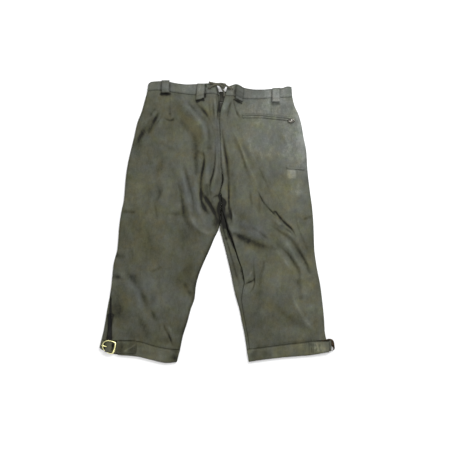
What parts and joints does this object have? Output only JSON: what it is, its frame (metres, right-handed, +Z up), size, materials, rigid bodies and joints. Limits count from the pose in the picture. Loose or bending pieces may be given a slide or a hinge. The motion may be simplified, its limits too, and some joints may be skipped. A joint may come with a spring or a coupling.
{
  "type": "knee breeches",
  "caption": "Leather knee breeches laid flat with the back up, with a laced waistband, belt loops, a welt pocket and buckled knee bands",
  "frame": {"origin": "middle of the footprint, on the surface that the breeches lie on", "axes": "+Y from the knees to the waist, +Z up out of the back of the breeches, +X to the wearer's right"},
  "size_m": [0.6209, 0.7463, 0.0155],
  "materials": {
    "leather": "smooth, waxed olive-grey hide with a soft sheen and a mottled tone",
    "leather_trim": "the same hide, doubled and edge-stitched",
    "lace_leather": "soft round thong, dark olive brown",
    "brass": "polished yellow brass, lightly worn",
    "dark_metal": "gunmetal, satin"
  },
  "bodies": {
    "root": {"back_left": "leather", "back_right": "leather", "belt_loop_left_inner": "leather_trim", "belt_loop_left_outer": "leather_trim", "belt_loop_right_inner": "leather_trim", "belt_loop_right_outer": "leather_trim", "buckle_frame_left": "brass", "buckle_frame_right": "brass", "buckle_prong_left": "brass", "buckle_prong_right": "brass", "buckle_tab_left": "leather_trim", "buckle_tab_right": "leather_trim", "eyelet_left": "dark_metal", "eyelet_right": "dark_metal", "front_left": "leather", "front_right": "leather", "knee_band_left": "leather_trim", "knee_band_right": "leather_trim", "knee_strap_left": "leather_trim", "knee_strap_right": "leather_trim", "knife_pocket_welt": "leather_trim", "lace_left": "lace_leather", "lace_right": "lace_leather", "pocket_button": "dark_metal", "pocket_welt_lower": "leather_trim", "pocket_welt_upper": "leather_trim", "waistband_left": "leather_trim", "waistband_right": "leather_trim"}
  },
  "joints": []
}
